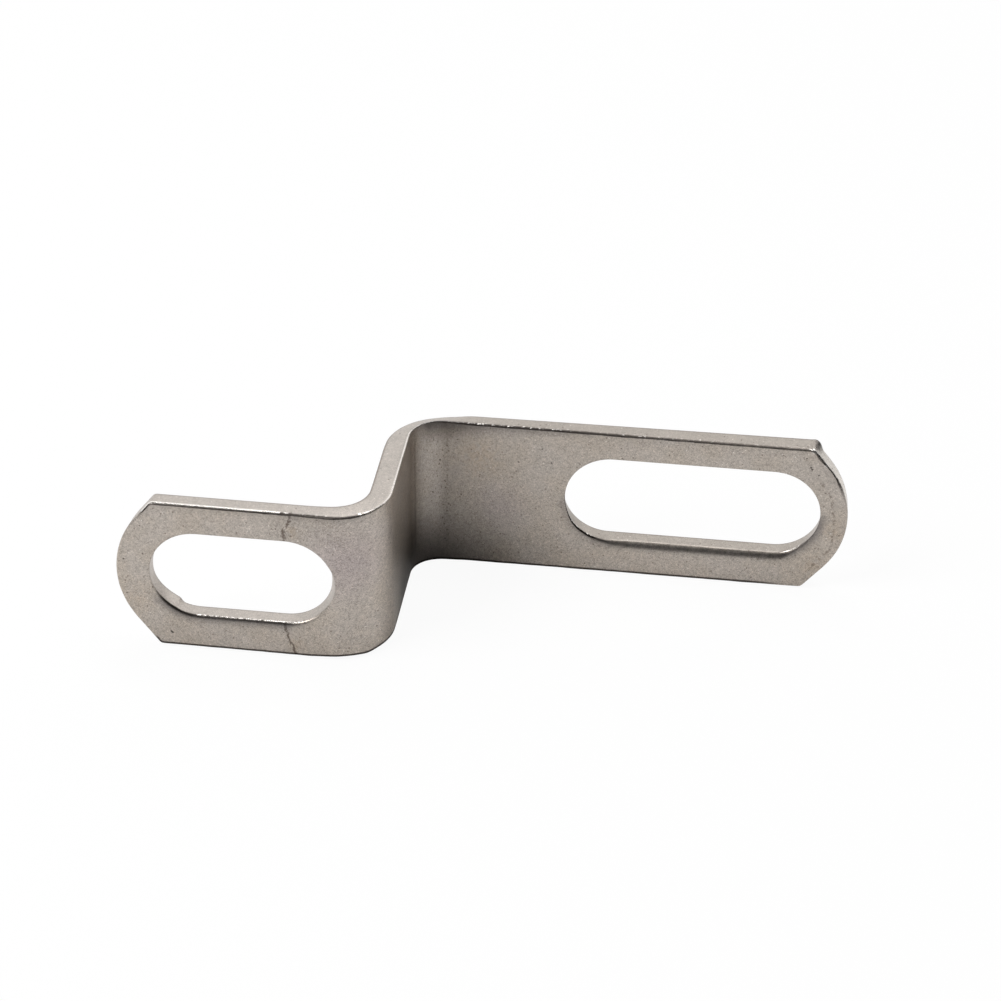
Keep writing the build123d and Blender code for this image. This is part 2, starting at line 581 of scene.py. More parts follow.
def outer_burrs(loop, depth):
    """How far the two burrs stand out of the strap's outline."""
    along, height = loop.T
    at, reach, size, depths = CORNER_BURR
    corner = size * bump(along, at, reach) * (height > WIDTH - CORNER_BURR_ZONE) * step(depth, *depths)
    at, reach, size, depths = BEND_BURR
    under = size * bump(along, at, reach) * (height < BEND_BURR_ZONE) * step(depth, *depths)
    return corner + under * (1.0 + BURR_WAVER * ragged(loop, 31))


def strap_mesh():
    """The whole strap as one closed mesh."""
    builder = Builder()
    perimeter = 2 * (ALONG_RIGHT - ALONG_LEFT) + WIDTH
    front_loop = evenly(strap_outline(), int(perimeter / RIM_SPACING))
    roll, softness = outer_roll(front_loop)
    rims = [rim(builder, front_loop, shifted_back(front_loop), False, roll, softness, outer_burrs)]
    slots = (
        (SHORT_SLOT, along_short, short_slot_roll, slot_lump),
        (LONG_SLOT, along_long, long_slot_roll, slot_drag),
    )
    for slot, along_of, roll_of, proud in slots:
        _, _, length, width = slot["front"]
        count = int((2 * length + width) / RIM_SPACING)
        front_loop = evenly(slot_outline(slot["front"], along_of), count)
        back_loop = evenly(slot_outline(slot["back"], along_of), count)
        roll, softness = roll_of(front_loop)
        rims.append(rim(builder, front_loop, back_loop, True, roll, softness, proud))
    front_rings, back_rings = zip(*rims)
    fill(builder, front_rings, 0.0, FRONT_SPACING, flip=False)
    fill(builder, back_rings, 1.0, BACK_SPACING, flip=True)
    return builder


def make_strap():
    builder = strap_mesh()
    along, height, depth, inset, tilt = np.concatenate(builder.points).T
    points = placed(along, height, depth) * MM
    mesh = bpy.data.meshes.new("folded_strap")
    mesh.from_pydata(points.tolist(), [], builder.faces)
    mesh.update()
    mesh.polygons.foreach_set("use_smooth", np.ones(len(mesh.polygons), bool))
    values = (
        ("sheet", np.stack([along, height, depth * THICKNESS], axis=1)),
        ("rim", np.stack([inset, tilt, bare_and_highlight_values(along, height, depth)], axis=1)),
        ("marks", marks_and_sole_shadow_values(along, height)),
        ("tints_and_painted_shade", tint_and_shade_values(along, height, depth)),
        ("wear_and_painted_light", wear_and_painted_light_values(along, height)),
    )
    for name, value in values:
        attribute = mesh.attributes.new(name, "FLOAT_VECTOR", "POINT")
        attribute.data.foreach_set("vector", value.astype(np.float32).ravel())
    strap = bpy.data.objects.new("folded_strap", mesh)
    SCENE.collection.objects.link(strap)
    return strap


# Marks, worn edges, and painted light and shade, in sheet coordinates

def on_arm(along_of, places):
    """Places whose first value is X, with the distance along the sheet instead."""
    return [(along_of(x), *others) for x, *others in places]


# Crack-like die marks across the short arm, as height and X
DIE_MARKS = (
    (0.0, -20.4), (0.45, -20.55), (1.28, -20.7), (1.9, -21.05), (3.29, -21.42), (5.0, -21.6),
    (14.5, -21.1), (15.92, -21.29), (16.57, -21.44), (17.4, -21.0), (18.37, -20.6), (19.0, -20.5),
)
# Ghost of a wet edge round the end of the long arm, as X and height
GHOST_LINE = on_arm(along_long, (
    (35.52, 17.36), (36.15, 16.27), (37.0, 15.2), (37.95, 13.92), (38.75, 12.49), (39.2, 9.54),
    (39.1, 5.56), (37.2, 3.12),
))
# Height of the strap's foot, up to which a contact shadow is painted under the rolled edge
SOLE_SHADOW_HEIGHTS = (1.2, 0.7)

# Pits, as X, height and reach
PITS = on_arm(along_short, (
    (-34.75, 1.85, 0.15), (-34.6, 1.72, 0.17), (-39.7, 11.35, 0.13), (-37.5, 12.2, 0.13),
)) + on_arm(along_long, (
    (-6.8, 13.8, 0.17), (-8.15, 9.4, 0.16), (-4.1, 9.2, 0.13), (2.6, 14.3, 0.14), (5.3, 16.3, 0.12),
    (6.4, 14.5, 0.12), (35.5, 17.8, 0.13), (36.05, 16.6, 0.17), (36.2, 16.35, 0.17), (37.0, 15.6, 0.12),
))

# Stains and heat tint, and knocks and a corner painted as bright highlights, each as X, height, reach and
# strength
TAN_STAINS = on_arm(along_short, (
    (-20.3, 16.6, 1.3, 0.8), (-20.2, 1.5, 1.5, 0.8), (TIP_LEFT + 1.5, 6.0, 4.0, 0.4),
)) + on_arm(along_long, (
    (39.2, 8.0, 2.6, 0.6), (37.5, 3.0, 3.0, 0.7), (-2.0, 14.5, 4.5, 0.8),
))
VIOLET_TINTS = on_arm(along_short, ((-15.0, 12.8, 7.0, 1.0),)) + on_arm(along_long, ((0.5, 8.0, 5.0, 0.6),))
KNOCK_AND_HIGHLIGHT_SPOTS = on_arm(along_long, ((36.35, 18.8, 0.45, 1.0), (37.9, 17.1, 0.5, 1.0)))
HIGHLIGHTED_CORNER, KNOCKED_AND_HIGHLIGHTED_CROP = on_arm(along_long, ((36.35, WIDTH - 0.1, 0.5, 1.0), (37.9, 17.2, 0.55, 1.0)))

# Painted shade on the long arm, by distance along the sheet: its strength under the top edge and how far down
# it reaches, and its bounds on the corner's burr
UNDER_EDGE_SHADE_STATIONS = (22.5, 25.0, 28.5, 33.0, 42.0, 46.0)
UNDER_EDGE_SHADE_STRENGTH = (0.0, 1.0, 0.9, 0.35, 0.25, 0.0)
UNDER_EDGE_SHADE_REACH_STATIONS = (25.0, 28.5, 34.0, 42.0)
UNDER_EDGE_SHADE_REACH = (3.5, 3.5, 2.0, 1.0)
PAINTED_EDGE_SHADE = 0.85
BURR_SHADE = (along_long(36.75), 0.8)
BURR_SHADE_HEIGHTS = (WIDTH - 1.5, WIDTH - 1.0)
BURR_SHADE_DEPTHS = (0.6, 0.8)

# Share of burnishing with a painted highlight, of thin dark line of painted shade and of soft painted shade
# along the strap's top front edge, by distance along
TOP_STATIONS = (
    -20.0, -6.6, -4.2, 2.6, 4.2, 8.0, 20.5, 21.6, 24.4, 26.0, 31.0, 40.0, 46.0, 55.0, 68.8, 70.0, 70.4,
)
TOP_BURNISH_AND_HIGHLIGHT = (1.0, 0.8, 0.12, 0.1, 0.7, 0.75, 0.7, 0.6, 0.4, 0.12, 0.24, 0.2, 0.14, 0.12, 0.1, 0.15, 1.0)
TOP_LINE = (0.9, 1.0, 0.95, 0.5, 0.2, 0.15, 0.15, 0.2, 0.4, 1.0, 1.0, 1.0, 0.9, 0.8, 0.65, 0.7, 0.2)
TOP_SHADE = (0.25, 0.3, 0.45, 0.5, 0.2, 0.0, 0.0, 0.3, 0.8, 0.8, 0.6, 0.4, 0.3, 0.2, 0.1, 0.2, 0.2)

# Bounds of the worn edges and of the painted highlights and shade, from where they start to where they are
# full, by height or by X
TOP_WEAR_AND_PAINTED_LIGHT_HEIGHTS = (WIDTH - 1.6, WIDTH - 1.2)
FOOT_SHADOW_HEIGHTS = (1.6, 1.2)
FOOT_SHADOW_X = (35.0, 30.5)
CROP_PAINTED_SHADE_X = (37.0, 37.6)
CROP_PAINTED_SHADE_HEIGHTS = (12.5, 15.0)
SHORT_WEAR_AND_PAINTED_LIGHT_X = (-18.7, -21.3)
SHORT_WEAR_AND_PAINTED_LIGHT_HEIGHTS = (7.8, 5.2)
SHORT_BURNISH_AND_HIGHLIGHT_X = (-32.4, -31.6)
SHORT_BRIGHTER_X = (-23.6, -22.8)
LONG_WEAR_AND_PAINTED_LIGHT_HEIGHTS = (MIDDLE + 1.5, MIDDLE - 0.5)
LONG_CRISP_X = (13.5, 10.5)
SLOT_WEAR_AND_PAINTED_LIGHT_REACH = (2.4, 1.6)

# Painted highlight and dark line of painted shade where the long slot's lower edge ends, as X and reach
LONG_HIGHLIGHT = (34.1, 2.0)
LONG_END_LINE = (33.6, 2.2)


def signed_distance(points, line):
    """Distance of points from an open line, negative on its right-hand side."""
    best = np.full(len(points), np.inf)
    side = np.ones(len(points))
    for start, end in zip(line, line[1:]):
        start, run = np.array(start), np.array(end) - np.array(start)
        share = np.clip(((points - start) @ run) / (run @ run), 0, 1)
        away = points - start - share[:, None] * run
        reach = np.hypot(*away.T)
        nearer = reach < best
        best[nearer] = reach[nearer]
        cross = run[0] * (points[:, 1] - start[1]) - run[1] * (points[:, 0] - start[0])
        side[nearer] = np.where(cross[nearer] < 0, -1.0, 1.0)
    return best * side


def spot(along, height, place):
    """A place's strength at its middle, falling smoothly to 0 at its reach."""
    at, z, reach, strength = place
    return strength * step(np.hypot(along - at, height - z), reach, 0.0)


def strongest(along, height, places):
    return np.max([spot(along, height, place) for place in places], axis=0)


def front_share(depth):
    """1 on the front face, falling to 0 a third of the way through the sheet."""
    return step(depth, 1 / 3, 0.0)


def marks_and_sole_shadow_values(along, height):
    """Distances across the die mark and the ghost line, and the share of the strap's foot, where a contact
    shadow is painted.
    """
    heights, places = zip(*DIE_MARKS)
    die = along - along_short(np.interp(height, heights, places))
    ghost = signed_distance(np.stack([along, height], axis=1), GHOST_LINE)
    foot = step(height, *SOLE_SHADOW_HEIGHTS)
    return np.stack([die, ghost, foot], axis=1)


def bare_and_highlight_values(along, height, depth):
    """Share of the knock and the corner on the right end, painted as bright highlights."""
    return strongest(along, height, KNOCK_AND_HIGHLIGHT_SPOTS) * front_share(depth)


def tint_and_shade_values(along, height, depth):
    """Shares of tan stain, violet heat tint, and painted shade under the long arm's top edge and on the
    corner's burr.
    """
    front = front_share(depth)
    tan = strongest(along, height, TAN_STAINS) * front
    violet = strongest(along, height, VIOLET_TINTS) * front
    burr = bump(along, *BURR_SHADE) * step(height, *BURR_SHADE_HEIGHTS) * step(depth, *BURR_SHADE_DEPTHS)
    reach = np.interp(along, UNDER_EDGE_SHADE_REACH_STATIONS, UNDER_EDGE_SHADE_REACH)
    under_edge = np.interp(along, UNDER_EDGE_SHADE_STATIONS, UNDER_EDGE_SHADE_STRENGTH) * step(WIDTH - height, reach, 0.0) * front
    return np.stack([tan, violet, np.maximum(burr, PAINTED_EDGE_SHADE * under_edge)], axis=1)


def outer_wear_and_painted_light(along, height):
    """Painted highlight on the burnishing, painted dark line and shade on the strap's own front edges, a
    painted contact shadow along the foot, and the knock and corner on the right end painted as highlights.
    """
    x = along - along_long(0.0)
    top = step(height, *TOP_WEAR_AND_PAINTED_LIGHT_HEIGHTS)
    # painted contact shadow along the foot, laid on as dark line
    foot = step(height, *FOOT_SHADOW_HEIGHTS) * step(x, *FOOT_SHADOW_X)
    burnish, line, shade = [
        top * np.interp(along, TOP_STATIONS, shares) for shares in (TOP_BURNISH_AND_HIGHLIGHT, TOP_LINE, TOP_SHADE)
    ]
    corner = spot(along, height, HIGHLIGHTED_CORNER)
    nick = spot(along, height, KNOCKED_AND_HIGHLIGHTED_CROP)
    crop = step(x, *CROP_PAINTED_SHADE_X) * step(height, *CROP_PAINTED_SHADE_HEIGHTS)
    burnish = np.maximum(burnish * (1 - 0.7 * crop), np.maximum(nick, corner))
    line = np.maximum(line + foot, crop) * (1 - corner)
    shade = np.maximum(shade, 0.3 * crop * (1 - nick))
    return burnish, line, shade


def by_slot(along, height, slot, along_of):
    """1 close to the front rim of a slot, falling to 0 well before the strap's own edge."""
    x, z, length, width = slot["front"]
    beyond = np.maximum(np.abs(along - along_of(x)) - (length - width) / 2, 0.0)
    return step(np.hypot(beyond, height - z) - width / 2, *SLOT_WEAR_AND_PAINTED_LIGHT_REACH)


def slot_wear_and_painted_light(along, height):
    """Burnishing with painted highlight, and painted dark line and shade, along the lower edges of both
    slots.
    """
    x = along - along_short(0.0)
    short = by_slot(along, height, SHORT_SLOT, along_short) * step(height, *SHORT_WEAR_AND_PAINTED_LIGHT_HEIGHTS)
    short = short * step(x, *SHORT_WEAR_AND_PAINTED_LIGHT_X)
    polish_and_highlight = (0.46 + 0.42 * step(x, *SHORT_BRIGHTER_X)) * step(x, *SHORT_BURNISH_AND_HIGHLIGHT_X)
    x = along - along_long(0.0)
    long = by_slot(along, height, LONG_SLOT, along_long) * step(height, *LONG_WEAR_AND_PAINTED_LIGHT_HEIGHTS)
    crisp = step(x, *LONG_CRISP_X)
    burnish = np.maximum(short * polish_and_highlight, long * (0.2 * crisp + bump(x, *LONG_HIGHLIGHT)))
    line = np.maximum(0.9 * short, long * (0.25 + 0.9 * crisp + 0.6 * bump(x, *LONG_END_LINE)))
    shade = np.maximum(short, long * (1.0 - 0.4 * crisp))
    return burnish, line, shade


def wear_and_painted_light_values(along, height):
    """Shares of burnishing with painted highlight, of thin dark line of painted shade and of soft painted
    shade on the rolled front edges.
    """
    return np.maximum(outer_wear_and_painted_light(along, height), slot_wear_and_painted_light(along, height)).T


# Material

class Nodes:
    """Short ways to add nodes to a material or world. Values are numbers or the outputs of other nodes."""

    def __init__(self, owner, shader="Principled BSDF"):
        owner.use_nodes = True
        self.tree = owner.node_tree
        self.shader = self.tree.nodes[shader]

    def feed(self, socket, value):
        if isinstance(value, bpy.types.NodeSocket):
            self.tree.links.new(value, socket)
        else:
            socket.default_value = value

    def set(self, inputs, node=None):
        """Feed inputs of the shader, or of another node, by name or number."""
        for key, value in inputs.items():
            self.feed((node or self.shader).inputs[key], value)

    def new(self, kind, inputs, **settings):
        """A node of one kind with these settings and inputs."""
        node = self.tree.nodes.new("ShaderNode" + kind)
        for name, setting in settings.items():
            setattr(node, name, setting)
        self.set(inputs, node)
        return node

    def attribute(self, name):
        return self.new("Attribute", {}, attribute_name=name).outputs["Vector"]

    def split(self, vector):
        return self.new("SeparateXYZ", {0: vector}).outputs

    def three(self, name):
        """The three values that the mesh holds under one name."""
        return self.split(self.attribute(name))

    def math(self, operation, *values):
        return self.new("Math", dict(enumerate(values)), operation=operation).outputs[0]

    def add(self, first, second):
        return self.math("ADD", first, second)

    def times(self, product, *others):
        for other in others:
            product = self.math("MULTIPLY", product, other)
        return product

    def larger(self, first, second):
        return self.math("MAXIMUM", first, second)

    def plus(self, value, other, share):
        """A value and a share of another one."""
        return self.add(value, self.times(other, share))

    def varied(self, value, texture, share):
        """A value moved up and down by a texture, by half of this share at most."""
        return self.plus(value, self.add(texture, -0.5), share)

    def step(self, value, low, high):
        """The same as step above, as a node."""
        inputs = {"Value": value, "From Min": min(low, high), "From Max": max(low, high)}
        inputs.update({"To Min": float(low > high), "To Max": float(low < high)})
        return self.new("MapRange", inputs, interpolation_type="SMOOTHSTEP").outputs["Result"]

    def within(self, value, start, full, full_to, end):
        """The same as within above, as nodes."""
        return self.times(self.step(value, start, full), self.step(value, end, full_to))

    def noise(self, vector, scale, detail, roughness):
        inputs = {"Vector": vector, "Scale": scale, "Detail": detail, "Roughness": roughness}
        return self.new("TexNoise", inputs).outputs[0]

    def spots(self, vector, scale, size, rarity):
        """Round spots of this radius in texture units, in a few of the cells."""
        cells = self.new("TexVoronoi", {"Vector": vector, "Scale": scale}).outputs
        chosen = self.step(self.split(cells["Color"])[0], rarity, rarity + 0.02)
        return self.times(chosen, self.step(cells["Distance"], size, size * 0.4))

    def mix(self, share, first, second):
        """A colour between two others. The node's colours are its inputs 6 and 7 and its output 2."""
        return self.new("Mix", {0: share, 6: first, 7: second}, data_type="RGBA").outputs[2]

    def distance(self, vector, place):
        return self.new("VectorMath", {0: vector, 1: place}, operation="DISTANCE").outputs["Value"]


WHITE = (1, 1, 1, 1)
STEEL = (0.487, 0.432, 0.378, 1)
STEEL_COOL = (0.470, 0.424, 0.382, 1)
CUT_STEEL = (0.50, 0.457, 0.418, 1)
CUT_STEEL_DARKER = (0.425, 0.385, 0.345, 1)
CROP_PAINTED_LIGHT = (0.84, 0.79, 0.73, 1)
TAN_STAIN = (0.45, 0.375, 0.30, 1)
VIOLET_TINT = (0.43, 0.375, 0.365, 1)
BURNISHED_AND_PAINTED_HIGHLIGHT = (0.93, 0.89, 0.84, 1)
# Dark colour of the pits, also laid on as painted shade for the edge lines, the contact shadow and the shade
# under the long arm's top edge
DARK_LINE = (0.04, 0.033, 0.03, 1)
SOFT_SHADE = (0.15, 0.14, 0.14, 1)
PIT_AND_CREASE_SHADE = (0.15, 0.12, 0.10, 1)
CORNER_SHADE = (0.10, 0.09, 0.085, 1)

# Noise textures, as scale, detail and roughness, on sheet coordinates turned by these angles in radians
TEXTURE_TURN = (0.7, 0.5, 0.9)
GRAIN = (3.4, 2.0, 0.6)
FINE = (9.0, 2.0, 0.6)
MOTTLE = (1.2, 3.0, 0.55)
CLOUD = (0.24, 2.0, 0.55)
RAG = (2.4, 3.0, 0.6)
BREAKS = (1.9, 2.0, 0.55)

# Spots, as scale, radius and the share of the cells without one
SMALL_PITS = (1.5, 0.2, 0.68)
SPARKLES = (2.1, 0.18, 0.7)
COARSE_PITS = (2.1, 0.32, 0.5)

# How much the grain, the mottling and the clouds of the blasted surface lighten and darken it
GRAIN_SHARE = 0.9
FINE_SHARE = 1.7
MOTTLE_SHARE = 0.35
CLOUD_SHARE = 0.2
CUT_CALM = 0.45  # how much weaker all but the clouds are on the cut walls

# Painted shade along a crease in the second bend, and line left by the die just past it, by distance along
# the sheet
CREASE_ALONG = 21.95
CREASE_BOUNDS = (0.45, 0.1)
DIE_LINE_ALONG = 28.25
DIE_LINE_BOUNDS = (0.2, 0.05)
CRACK_BOUNDS = (0.24, 0.08)

# Stretches of the sheet, as where each starts, where it is full from and to, and where it ends: painted light
# on the outer side of the first bend, painted shade on the top of the short arm before it, the long arm's
# darker cut edge, the coarse pits between crease and die line, painted shade in the corner round the second
# bend and the riser's rolled edge
LIGHTENED_BEND = (3.0, 5.0, 8.0, 10.0)
BEND_PAINTED_LIGHT = 0.1
UPPER = (-8.0, -4.0, 0.0, 3.0)
UPPER_HEIGHTS = (14.0, 16.5)
UPPER_PAINTED_SHADE = 0.09
DARKER_CUT = (24.0, 34.0, 69.5, 71.0)
COARSE_BAND = (CREASE_ALONG + 2, CREASE_ALONG + 5, DIE_LINE_ALONG, DIE_LINE_ALONG + 1)
SHADED_CORNER = (9.0, 14.0, 26.0, 38.0)
CORNER_SHADE_HEIGHTS = (9.0, 0.0)
RISER_EDGE = (2.0, 5.0, 22.5, 25.0)
RISER_MELLOWING = 0.3  # how much duller the burnished edge and its painted highlight are along the riser
CROP_ALONG = (70.2, 70.9)
CROP_HEIGHTS = (10.0, 13.0)
FACE_HEIGHTS = (0.6, 2.5, 16.5, 18.3)  # clear of the rolled edges

# Bounds across the rolled edges: tilt in quarter turns, depth and inset in millimetres
CUT_TILT = (0.6, 0.9)
LINE_TILT = (0.2, 0.36, 0.84, 0.98)
CREST_TILT = (0.54, 0.66)
FRONT_DEPTH = (0.5, 0.25)
SHADE_DEPTH = (0.4, 0.15)
LINE_DEPTH = (0.5, 0.34)
CREST_DEPTH = (0.5, 0.36)
REAR_EDGE_DEPTH = (1.85, 2.02)
REAR_EDGE_INSET = (0.2, 0.1)
SHADE_INSET = (1.35, 0.0)
SOLE_INSET = (0.42, 0.27)

ROUGHNESS = 0.42
BUMP_HEIGHT = 0.03
SHADE_STRENGTH = 0.7
LINE_STRENGTH = 0.93


class Steel(Nodes):
    """The matte stainless sheet, from its plain colour to the worn edges with their painted light and shade.
    """

    def __init__(self, material):
        super().__init__(material)
        self.place = self.attribute("sheet")
        self.along, self.height, self.depth = self.split(self.place)
        self.inset, self.tilt, self.bare_and_highlight = self.three("rim")
        self.die, self.ghost, self.foot = self.three("marks")
        self.tan, self.violet, self.painted_shade = self.three("tints_and_painted_shade")
        self.burnish, self.line, self.shade = self.three("wear_and_painted_light")
        texture = self.new("Mapping", {"Vector": self.place, "Rotation": TEXTURE_TURN}).outputs[0]
        self.grain = self.noise(texture, *GRAIN)
        self.fine = self.noise(texture, *FINE)
        self.mottle = self.noise(texture, *MOTTLE)
        self.cloud = self.noise(texture, *CLOUD)
        self.rag = self.noise(texture, *RAG)
        self.breaks = self.noise(texture, *BREAKS)
        self.small_pits = self.spots(texture, *SMALL_PITS)
        self.sparkles = self.spots(texture, *SPARKLES)
        self.coarse_pits = self.spots(texture, *COARSE_PITS)
        self.cut = self.step(self.tilt, *CUT_TILT)
        self.on_front = self.step(self.depth, *FRONT_DEPTH)
        self.at_crop = self.times(self.step(self.along, *CROP_ALONG), self.step(self.height, *CROP_HEIGHTS))
        self.crack = self.cracks()
        self.bright = self.crests()

    def lay(self, layer, *shares):
        """Lay another colour over the steel's, by the product of these shares."""
        self.colour = self.mix(self.times(*shares), self.colour, layer)

    def strayed(self, value, amount):
        """A value with an uneven shift along the sheet, by up to half of this amount."""
        return self.varied(value, self.rag, amount)

    def drawn(self, away, bounds, broken):
        """A thin line on the front, broken up, from the distance across it."""
        return self.times(self.step(self.math("ABSOLUTE", away), *bounds), broken, self.on_front)

    def cracks(self):
        """Crack-like die marks on the short arm."""
        return self.drawn(self.strayed(self.die, 0.9), CRACK_BOUNDS, self.step(self.breaks, 0.33, 0.46))

    def crests(self):
        """Burnished crest of the rolled edges, partly a painted highlight, broken up by the grain."""
        on_riser = self.within(self.along, *RISER_EDGE)
        crest = self.step(self.plus(self.depth, on_riser, 0.24), *CREST_DEPTH)
        crest = self.times(self.step(self.strayed(self.tilt, 0.15), *CREST_TILT), crest)
        lit = self.plus(self.times(self.rag, 0.5), self.grain, 0.5)
        lit = self.step(self.plus(lit, self.burnish, 0.35), 0.6, 0.68)
        mellow = self.plus(1.0, on_riser, -RISER_MELLOWING)
        return self.times(crest, lit, self.step(self.burnish, 0.05, 0.2), mellow)

    def lightness(self):
        """How the grain and the clouds lighten and darken the steel, with painted light on the outer side of
        the first bend and painted shade on the top of the short arm.
        """
        speckle = self.varied(0.0, self.grain, GRAIN_SHARE)
        speckle = self.varied(speckle, self.fine, FINE_SHARE)
        speckle = self.varied(speckle, self.mottle, MOTTLE_SHARE)
        value = self.plus(1.0, speckle, self.plus(1.0, self.cut, -CUT_CALM))
        value = self.varied(value, self.cloud, CLOUD_SHARE)
        # painted light on the outer side of the first bend
        lightened_bend_share = self.times(self.within(self.along, *LIGHTENED_BEND), self.on_front)
        value = self.plus(value, lightened_bend_share, BEND_PAINTED_LIGHT)
        # painted shade on the top of the short arm near the first bend
        upper = self.times(self.within(self.along, *UPPER), self.step(self.height, *UPPER_HEIGHTS))
        return self.plus(value, self.times(upper, self.on_front), -UPPER_PAINTED_SHADE)

    def bare_sheet(self):
        """Faces, cut walls with painted light on the right end's upper crop, stains and heat tint."""
        face = self.mix(self.step(self.cloud, 0.35, 0.65), STEEL, STEEL_COOL)
        darker_cut_share = self.within(self.along, *DARKER_CUT)
        self.colour = self.mix(self.cut, face, self.mix(darker_cut_share, CUT_STEEL, CUT_STEEL_DARKER))
        # painted light: the cut wall of the right end's upper crop is drawn much lighter
        self.lay(CROP_PAINTED_LIGHT, self.cut, self.at_crop)
        self.lay(TAN_STAIN, self.tan, self.step(self.mottle, 0.3, 0.6))
        self.lay(VIOLET_TINT, self.violet, 0.8)
        inputs = {0: self.colour, "Scale": self.lightness()}
        self.colour = self.new("VectorMath", inputs, operation="SCALE").outputs[0]

    def add_pits(self):
        """Pits of the blasted surface, with the larger pits at their own places, and sparkles painted on as
        glints.
        """
        self.lay(PIT_AND_CREASE_SHADE, self.small_pits, 0.75)
        for along, height, reach in PITS:
            away = self.strayed(self.distance(self.place, (along, height, 0.0)), 0.2)
            self.lay(DARK_LINE, self.step(away, reach, reach * 0.5), 0.8)
        # sparkles: painted glints, also less rough
        self.lay(BURNISHED_AND_PAINTED_HIGHLIGHT, self.sparkles, 0.65)

    def add_marks(self):
        """Die marks, the ghost line, painted shade along the crease, the die line with coarse pits between,
        and painted shade in the corner round the second bend.
        """
        self.lay(PIT_AND_CREASE_SHADE, self.crack, 0.9)
        broken = self.times(self.step(self.mottle, 0.4, 0.54), self.step(self.rag, 0.42, 0.58))
        ghost = self.drawn(self.strayed(self.ghost, 0.8), CRACK_BOUNDS, broken)
        self.lay(PIT_AND_CREASE_SHADE, ghost, 0.6)
        on_face = self.within(self.height, *FACE_HEIGHTS)
        # painted shade along the crease in the second bend
        away = self.strayed(self.add(self.along, -CREASE_ALONG), 0.15)
        crease = self.drawn(away, CREASE_BOUNDS, self.step(self.mottle, 0.25, 0.55))
        self.lay(PIT_AND_CREASE_SHADE, crease, on_face, 0.45)
        away = self.strayed(self.add(self.along, -DIE_LINE_ALONG), 0.4)
        die_line = self.drawn(away, DIE_LINE_BOUNDS, self.step(self.rag, 0.45, 0.65))
        self.lay(PIT_AND_CREASE_SHADE, die_line, on_face, 0.45)
        band = self.times(self.within(self.along, *COARSE_BAND), on_face, self.on_front)
        self.lay(PIT_AND_CREASE_SHADE, self.coarse_pits, band, 0.85)
        # painted shade in the corner round the second bend, darker towards the foot
        shaded_corner_share = self.times(self.within(self.along, *SHADED_CORNER), self.on_front)
        low = self.plus(0.15, self.step(self.height, *CORNER_SHADE_HEIGHTS), 0.72)
        self.lay(CORNER_SHADE, shaded_corner_share, low)

    def add_wear_and_painted_light(self):
        """Painted soft shade and thin dark line of painted shade on the rolled edges, a painted contact
        shadow along the foot, the burnished crest with its painted highlight, knocks painted as highlights,
        and painted shade under the long arm's top edge and on the burr.
        """
        near_edge = self.step(self.strayed(self.inset, 0.4), *SHADE_INSET)
        near_edge = self.times(near_edge, self.step(self.depth, *SHADE_DEPTH))
        self.lay(SOFT_SHADE, near_edge, self.shade, SHADE_STRENGTH)
        # thin dark line of painted shade on the rolled edges, with the painted contact shadow of the sole
        # along the foot
        torn = self.plus(1.0, self.at_crop, self.times(self.step(self.rag, 0.52, 0.6), -0.75))
        on_roll = self.within(self.strayed(self.tilt, 0.15), *LINE_TILT)
        on_roll = self.times(on_roll, torn, self.step(self.depth, *LINE_DEPTH))
        # the sole: a painted contact shadow under the strap's foot
        sole = self.step(self.strayed(self.inset, 0.075), *SOLE_INSET)
        sole = self.times(sole, self.foot, self.on_front)
        self.lay(DARK_LINE, self.larger(on_roll, sole), self.line, LINE_STRENGTH)
        # painted highlight on the burnished crests
        self.lay(BURNISHED_AND_PAINTED_HIGHLIGHT, self.bright)
        # knock and corner on the right end, painted as bright highlights
        self.lay(BURNISHED_AND_PAINTED_HIGHLIGHT, self.bare_and_highlight, 0.95)
        rear_edge = self.step(self.inset, *REAR_EDGE_INSET)
        self.lay(PIT_AND_CREASE_SHADE, self.step(self.depth, *REAR_EDGE_DEPTH), rear_edge, 0.5)
        # painted shade under the long arm's top edge and on the corner's burr
        self.lay(DARK_LINE, self.painted_shade, 0.9)

    def roughness(self):
        rough = self.varied(ROUGHNESS, self.grain, 0.25)
        rough = self.plus(rough, self.sparkles, -0.12)
        return self.plus(rough, self.bright, -0.2)

    def relief(self):
        height = self.plus(self.times(self.grain, 0.4), self.fine, 0.3)
        height = self.plus(height, self.mottle, 0.3)
        height = self.plus(height, self.add(self.small_pits, self.crack), -0.6)
        return self.new("Bump", {"Strength": 1.0, "Distance": BUMP_HEIGHT * MM, "Height": height}).outputs[0]


def steel_material():
    material = bpy.data.materials.new("matte_stainless")
    steel = Steel(material)
    steel.bare_sheet()
    steel.add_pits()
    steel.add_marks()
    steel.add_wear_and_painted_light()
    steel.set({"Base Color": steel.colour, "Roughness": steel.roughness()})
    steel.set({"Normal": steel.relief(), "Metallic": 1.0})
    return material


# Stage, light and camera

FLOOR_LEVEL = -0.28 * MM
FLOOR_SIDE = 6.0
FLOOR_COLOUR = (0.85, 0.85, 0.85, 1)
FLOOR_ROUGHNESS = 0.9
WHITE_TO_CAMERA = 0.94
FLOOR_TO_RAYS = {"Camera": WHITE_TO_CAMERA, "Glossy": 0.03, "Transmission": WHITE_TO_CAMERA}
WORLD_STRENGTH = 0.02

# Lamps, as place, width and height in metres, and how many times as bright as white they are
LAMPS = {
    "key": ((-0.42, -0.245, 0.49), (0.35, 0.35), 10.2),
    "overhead_strip": ((0.08, 0.1, 0.45), (0.5, 0.1), 5.8),
    "behind": ((-0.1, 0.55, 0.25), (1.7, 0.68), 1.05),
    "right_behind": ((0.46, 0.42, 0.47), (0.3, 0.25), 1.5),
}


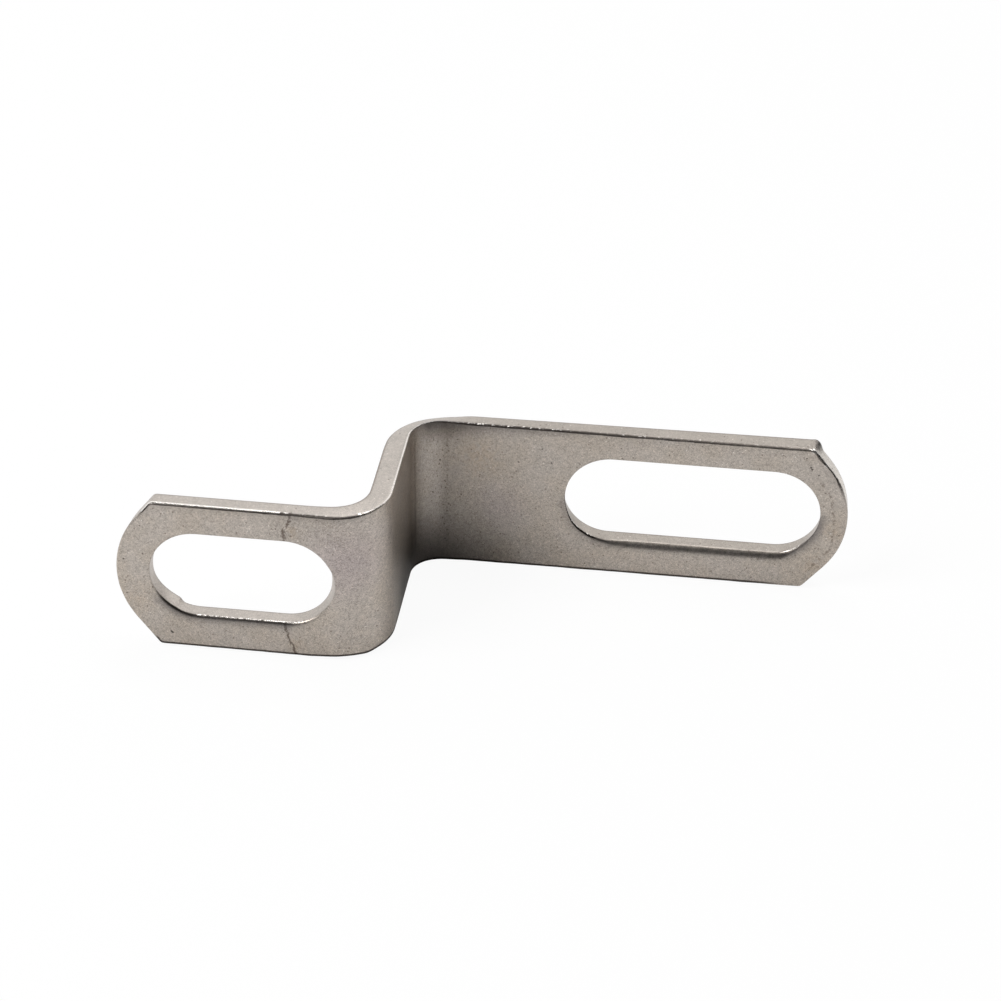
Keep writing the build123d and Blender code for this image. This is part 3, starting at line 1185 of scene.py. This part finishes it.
def white_to_camera(nodes):
    """The surface's own shade, lightened towards white for camera, glossy and transmission rays."""
    rays = nodes.new("LightPath", {}).outputs
    share = 0.0
    for ray, lightened in FLOOR_TO_RAYS.items():
        share = nodes.larger(share, nodes.times(rays[f"Is {ray} Ray"], lightened))
    white = nodes.new("Emission", {"Color": WHITE}).outputs[0]
    mixed = nodes.new("MixShader", {0: share, 1: nodes.shader.outputs[0], 2: white}).outputs[0]
    nodes.set({"Surface": mixed}, nodes.tree.nodes["Material Output"])


def make_floor():
    bpy.ops.mesh.primitive_plane_add(size=FLOOR_SIDE, location=(0, 0, FLOOR_LEVEL))
    floor = bpy.context.object
    floor.name = "floor"
    material = bpy.data.materials.new("white_table")
    nodes = Nodes(material)
    nodes.set({"Base Color": FLOOR_COLOUR, "Roughness": FLOOR_ROUGHNESS})
    white_to_camera(nodes)
    floor.data.materials.append(material)


def make_world():
    """A dim white world that is as white to the camera as the floor."""
    world = bpy.data.worlds.new("studio")
    SCENE.world = world
    nodes = Nodes(world, "Background")
    seen = nodes.new("LightPath", {}).outputs["Is Camera Ray"]
    strength = nodes.new("MapRange", {"Value": seen, "To Min": WORLD_STRENGTH, "To Max": WHITE_TO_CAMERA})
    nodes.set({"Color": WHITE, "Strength": strength.outputs["Result"]})


def make_lights():
    """Rectangular lamps that look at the bracket."""
    for name, (place, size, brightness) in LAMPS.items():
        lamp = bpy.data.lights.new(name, "AREA")
        lamp.shape = "RECTANGLE"
        lamp.size, lamp.size_y = size
        lamp.energy = brightness * math.pi * size[0] * size[1]
        holder = bpy.data.objects.new(name, lamp)
        holder.location = place
        holder.rotation_mode = "QUATERNION"
        holder.rotation_quaternion = (-Vector(place)).to_track_quat("-Z", "Y")
        SCENE.collection.objects.link(holder)


def make_camera():
    turn = Matrix.Rotation(math.radians(CAMERA_AZIMUTH), 3, "Z")
    turn @= Matrix.Rotation(math.radians(90 - CAMERA_ELEVATION), 3, "X")
    turn @= Matrix.Rotation(math.radians(CAMERA_ROLL), 3, "Z")
    across, below = [(pixel - PHOTO_MIDDLE) / FOCAL_PIXELS for pixel in ANCHOR_PIXEL]
    place = Vector(ANCHOR) - turn @ Vector((across, -below, -1)) * ANCHOR_DEPTH
    data = bpy.data.cameras.new("photo_camera")
    data.sensor_width = SENSOR
    data.lens = FOCAL_PIXELS * SENSOR / PHOTO_SIDE
    data.clip_start = CLIP_START
    camera = bpy.data.objects.new("photo_camera", data)
    camera.matrix_world = Matrix.Translation(place * MM) @ turn.to_4x4()
    SCENE.collection.objects.link(camera)
    SCENE.camera = camera


strap = make_strap()
strap.data.materials.append(steel_material())
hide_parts("bracket_strap")
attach(strap, "root")
make_floor()
make_world()
make_lights()
make_camera()
SCENE.view_settings.view_transform = "Standard"
